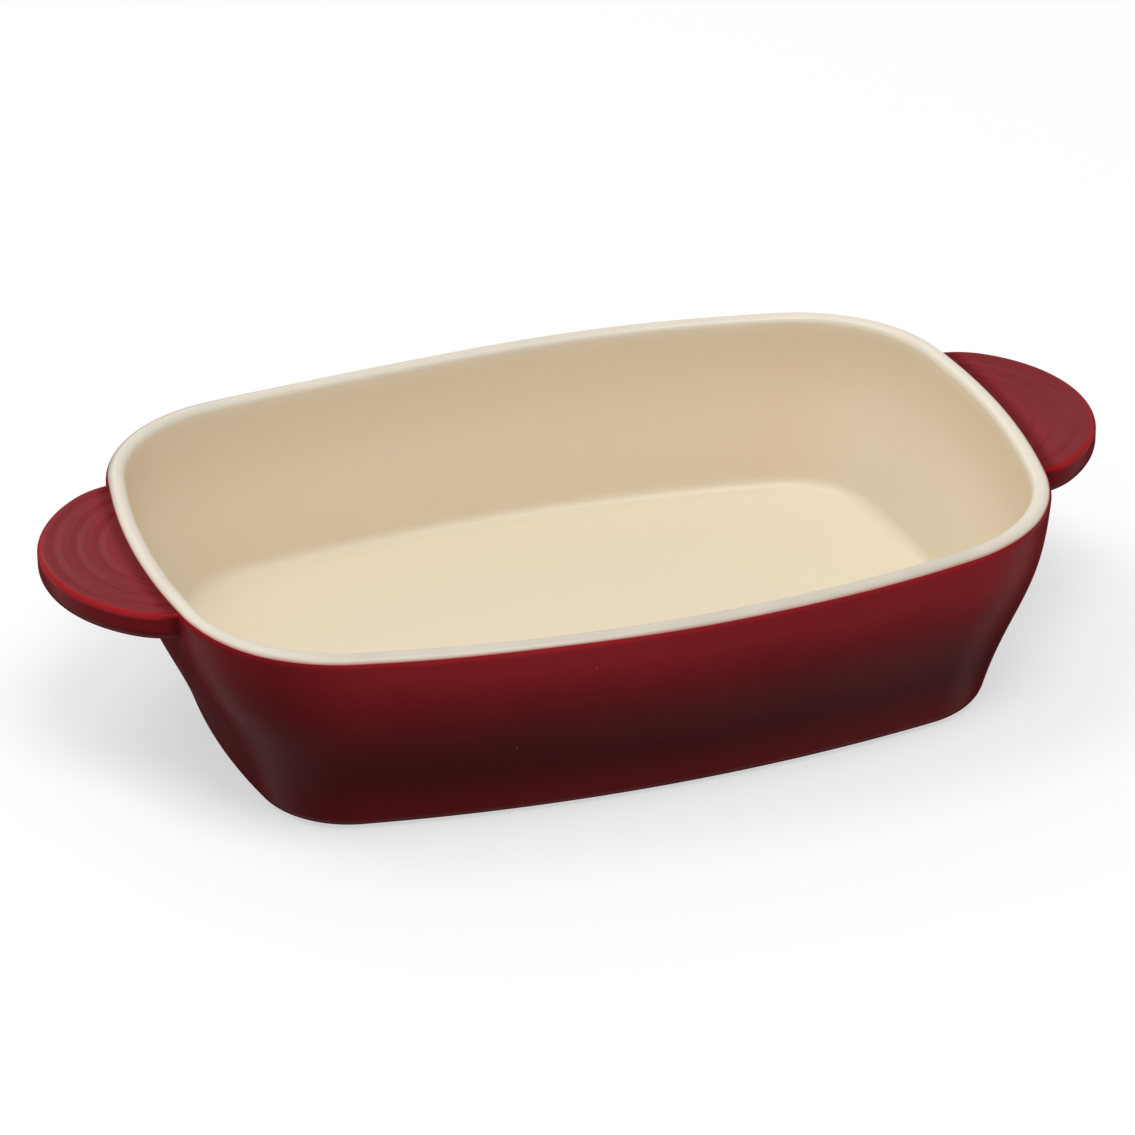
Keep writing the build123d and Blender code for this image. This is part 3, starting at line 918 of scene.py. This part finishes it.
def lug_surface(dish, lug, count=181):
    """Rows from the middle of the lug's top, out over its edge, to the middle of its underside."""
    top = RIM_Z - lug.below_rim
    low = top - lug.thickness
    across, out = end_wall(outline(dish.outer(low))[0])
    root = (across, out - LUG_SEAT)
    flat, rows, masks = [], [], []
    for inset in np.arange(lug.upper_round, LUG_ROW_END, LUG_ROW_STEP):
        line = lug_line(lug, inset, root, count)
        if line is None:
            break
        flat.append((inset, line))

    def add(line, z, *mask):
        rows.append(np.column_stack([line, np.full(count, z)]))
        masks.append(mask)

    # Top rows: full painted sheen in the level mask
    for inset, line in flat[:0:-1]:
        add(line, top, inset, 0.0, 1.0, 0.0)
    edge = [(lug.upper_round, top - lug.upper_round, turn) for turn in np.linspace(90, 0, 17)]
    edge += [(lug.lower_round, low + lug.lower_round, turn) for turn in np.linspace(0, -90, 25)]
    # Edge rows: a painted highlight band round 48 degrees of the rounding in the thin mask, painted
    # sheen above 40 degrees, and painted shade growing below 25 degrees
    for radius, centre, turn in edge:
        angle = math.radians(turn)
        inset = radius * (1 - math.cos(angle))
        add(lug_line(lug, inset, root, count), centre + radius * math.sin(angle),
            inset if turn > GROOVES_END else NO_GROOVE, 0.6 * hump(turn, 48, 22),
            rise(turn, 40, 50), 0.7 * fall(turn, 25, 30))
    # Painted shade: the whole underside of a lug takes the under mask
    beneath = [line for inset, line in flat if inset > lug.lower_round]
    for line in beneath[1::4]:
        add(line, low, NO_GROOVE, 0.0, 0.0, 1.0)
    rows = np.stack(rows)
    # Painted shade where a lug meets the wall: less painted sheen and more painted shade there
    off_wall = rows[..., 0] - np.interp(rows[..., 1], *end_wall(dish.rim_points))
    near_wall = hump(np.maximum(off_wall, 0), 0, 0.005).reshape(-1)
    layers = {key: np.repeat(values, count)
              for key, values in zip(("from_edge", "thin", "level", "under"), zip(*masks))}
    layers["level"] = layers["level"] * (1 - 0.9 * near_wall)
    layers["under"] = np.maximum(layers["under"], 0.85 * near_wall)
    return rows, layers


def groove_tree():
    """Geometry nodes that press soft grooves into a lug, each a steady distance from its edge."""
    tree, n, i, out = shape_tree("Lug Grooves", "Count", "First", "Pitch", "Width", "Depth")
    edge = n.new("GeometryNodeInputNamedAttribute", data_type="FLOAT",
                 inputs={"Name": "from_edge"}).outputs[0]
    step = n.math("ROUND", n.math("DIVIDE", n.minus(edge, i["First"]), i["Pitch"]))
    nearest = n.math("MINIMUM", n.math("MAXIMUM", step, 0.0), n.minus(i["Count"], 1.0))
    centre = n.math("MULTIPLY_ADD", nearest, i["Pitch"], i["First"])
    off = n.math("ABSOLUTE", n.minus(edge, centre))
    away = n.math("DIVIDE", off, n.times(i["Width"], 0.5))
    inside = n.minus(1.0, n.math("MINIMUM", n.times(away, away), 1.0))
    dip = n.times(n.times(inside, inside), n.times(i["Depth"], -1.0))
    finish_lifted(n, i, out, dip, n.math("GREATER_THAN", edge, 0.0))
    return tree


class DISH_OT_red_lugs(bpy.types.Operator):
    """Make the red coats of the two lugs, with a rounded edge and grooves that follow it"""
    bl_idname = "dish.red_lugs"
    bl_label = "Red Lugs"

    def execute(self, context):
        scene = context.scene
        dish, lug = Dish(scene.dish_shape), scene.dish_lug
        material = material_for("fired_red_glaze")
        tree = groove_tree()
        rows, layers = lug_surface(dish, lug)
        count, wide = rows.shape[:2]
        points = rows.reshape(-1, 3)
        for name, side in (("red_lug_coat_right", 1), ("red_lug_coat_left", -1)):
            faces = grid_faces(count, wide, wrap_rows=True, wrap_columns=False)
            faces.append(tuple(r * wide for r in range(count - 1, -1, -1)))
            faces.append(tuple(r * wide + wide - 1 for r in range(count)))
            if side > 0:
                faces = [f[::-1] for f in faces]
            coat = make_mesh(name, points * (side, 1, 1), faces, layers)
            run_tree(coat, tree, Count=lug.groove_count, First=lug.groove_first,
                     Pitch=lug.groove_pitch, Width=lug.groove_width, Depth=lug.groove_depth,
                     Glaze=material)
            ride(coat, material, "red_glaze", "red_outer_glaze")
        return {"FINISHED"}


def speck_tree():
    """Geometry nodes that scatter flat pin marks over a coat of glaze."""
    tree, n, i, out = shape_tree("Pin Marks", "Density", "Seed", "Size")
    spread = n.new("GeometryNodeDistributePointsOnFaces",
                   inputs={"Mesh": i["Geometry"], "Density": i["Density"], "Seed": i["Seed"]})
    dot = n.new("GeometryNodeMeshIcoSphere", inputs={"Radius": 1.0, "Subdivisions": 2})
    random = n.new("FunctionNodeRandomValue", data_type="FLOAT",
                   inputs={2: 0.35, 3: 1.0, "Seed": i["Seed"]})
    size = n.times(random.outputs[1], i["Size"])
    flat = n.new("ShaderNodeCombineXYZ",
                 inputs={"X": size, "Y": size, "Z": n.times(size, 0.16)})
    marks = n.new("GeometryNodeInstanceOnPoints",
                  inputs={"Points": spread.outputs["Points"], "Instance": dot.outputs["Mesh"],
                          "Rotation": spread.outputs["Rotation"], "Scale": flat.outputs[0]})
    finish_tree(n, i, out, marks.outputs[0])
    return tree


class DISH_OT_pin_marks(bpy.types.Operator):
    """Scatter the pin marks of the firing over the red wall"""
    bl_idname = "dish.pin_marks"
    bl_label = "Pin Marks"

    def execute(self, context):
        scene = context.scene
        s, f = scene.dish_shape, scene.dish_finish
        dish = Dish(s)
        columns = len(dish.rim_points)
        rows = dish.outer_rows(0.0, dish.FOOT_ROWS_END, np.full(columns, 0.1))[:72]
        material = material_for("pin_mark")
        wall = make_mesh("pin_marks", np.concatenate(rows), grid_faces(len(rows), columns))
        marks = slump(wall, s, material)
        run_tree(marks, speck_tree(), Density=f.speck_count, Seed=11, Size=f.speck_size,
                 Glaze=material)
        ride(marks, material, "red_glaze")
        return {"FINISHED"}


class DISH_OT_kept_parts(bpy.types.Operator):
    """Give the parts that keep their own shape their finish: clay lugs and underside glaze"""
    bl_idname = "dish.kept_parts"
    bl_label = "Kept Parts"

    def execute(self, context):
        for name, finish in (("left_lug_handle", "fired_clay"), ("right_lug_handle", "fired_clay"),
                             ("red_underside_glaze", "fired_red_glaze")):
            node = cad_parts[name]
            node.data.materials.clear()
            node.data.materials.append(material_for(finish))
        return {"FINISHED"}


def area_lamp(name, strength, around, up):
    """Round soft lamp that looks at the dish from a bearing and a height in degrees."""
    lamp = bpy.data.lights.new(name, "AREA")
    lamp.energy, lamp.shape, lamp.size = strength, "DISK", LAMP_SIZE
    obj = bpy.data.objects.new(name, lamp)
    bpy.context.scene.collection.objects.link(obj)
    turn = (Matrix.Rotation(math.radians(around + 90), 4, "Z")
            @ Matrix.Rotation(math.radians(90 - up), 4, "X"))
    aim = Matrix.Translation((0, 0, FOOT_Z + LAMP_AIM))
    obj.matrix_world = aim @ turn @ Matrix.Translation((0, 0, LAMP_AWAY))


def seen_ray(n):
    """One where the ray comes from the camera or from a mirror or clear surface."""
    path = n.new("ShaderNodeLightPath").outputs
    either = n.math("MAXIMUM", path["Is Camera Ray"], path["Is Glossy Ray"])
    return n.math("MAXIMUM", either, path["Is Transmission Ray"])


class DISH_OT_stage(bpy.types.Operator):
    """Set the floor, the soft studio light, the pale surround and the camera"""
    bl_idname = "dish.stage"
    bl_label = "Stage"

    def execute(self, context):
        scene, setup = context.scene, context.scene.dish_stage
        mesh = bpy.data.meshes.new("floor")
        e, low = FLOOR_REACH, FOOT_Z - FLOOR_DROP
        mesh.from_pydata([(-e, -e, low), (e, -e, low), (e, e, low), (-e, e, low)], [], [(0, 1, 2, 3)])
        floor = bpy.data.objects.new("floor", mesh)
        scene.collection.objects.link(floor)
        pale = bpy.data.materials.new("pale_floor")
        pale.use_nodes = True
        n = Nodes(pale.node_tree)
        pale.node_tree.nodes.remove(pale.node_tree.nodes["Principled BSDF"])
        seen = seen_ray(n)
        grey = [(level, level, level, 1) for level in
                (setup.floor_bounce, setup.floor_shade / LAMPS_ON_FLOOR)]
        matt = n.new("ShaderNodeBsdfDiffuse", inputs={"Color": n.mix(seen, *grey)})
        added = n.times(seen, FLOOR_WHITE - setup.floor_shade)
        glow = n.new("ShaderNodeEmission", inputs={"Strength": added})
        both = n.new("ShaderNodeAddShader", inputs={0: matt.outputs[0], 1: glow.outputs[0]})
        n.feed(pale.node_tree.nodes["Material Output"].inputs["Surface"], both.outputs[0])
        mesh.materials.append(pale)

        world = bpy.data.worlds.new("surround")
        world.use_nodes = True
        scene.world = world
        back = world.node_tree.nodes["Background"]
        back.inputs["Color"].default_value = (1, 1, 1, 1)
        back.inputs["Strength"].default_value = setup.surround

        area_lamp("overhead_lamp", setup.overhead, 270, 70)
        area_lamp("left_lamp", setup.left, 155, 65)
        area_lamp("rear_lamp", setup.behind, 102, 33)

        lens = bpy.data.cameras.new("photograph_view")
        lens.sensor_fit, lens.sensor_width, lens.sensor_height = "HORIZONTAL", 36.0, 36.0
        lens.lens, lens.clip_start, lens.clip_end = setup.lens, 0.05, 60.0
        camera = bpy.data.objects.new("photograph_view", lens)
        scene.collection.objects.link(camera)
        camera.matrix_world = Matrix(CAMERA)
        scene.camera = camera
        scene.view_settings.view_transform = "Standard"
        return {"FINISHED"}


OPERATORS = (DISH_OT_glaze_effects, DISH_OT_clay_body, DISH_OT_cream_liner, DISH_OT_red_wall,
             DISH_OT_red_lugs, DISH_OT_pin_marks, DISH_OT_kept_parts, DISH_OT_stage)


class DISH_PT_panel(bpy.types.Panel):
    bl_label = "Lasagna Dish"
    bl_idname = "DISH_PT_panel"
    bl_space_type = "VIEW_3D"
    bl_region_type = "UI"
    bl_category = "Dish"

    def draw(self, context):
        for operator in OPERATORS:
            self.layout.operator(operator.bl_idname)


CLASSES = (DishShape, LugShape, DishFinish, StageSetup, *OPERATORS, DISH_PT_panel)


def register():
    for cls in CLASSES:
        bpy.utils.register_class(cls)
    bpy.types.Scene.dish_shape = PointerProperty(type=DishShape)
    bpy.types.Scene.dish_lug = PointerProperty(type=LugShape)
    bpy.types.Scene.dish_finish = PointerProperty(type=DishFinish)
    bpy.types.Scene.dish_stage = PointerProperty(type=StageSetup)


def unregister():
    for name in ("dish_shape", "dish_lug", "dish_finish", "dish_stage"):
        delattr(bpy.types.Scene, name)
    for cls in reversed(CLASSES):
        bpy.utils.unregister_class(cls)


def main():
    register()
    for operator in OPERATORS:
        group, name = operator.bl_idname.split(".")
        getattr(getattr(bpy.ops, group), name)()


if __name__ == "__main__":
    main()
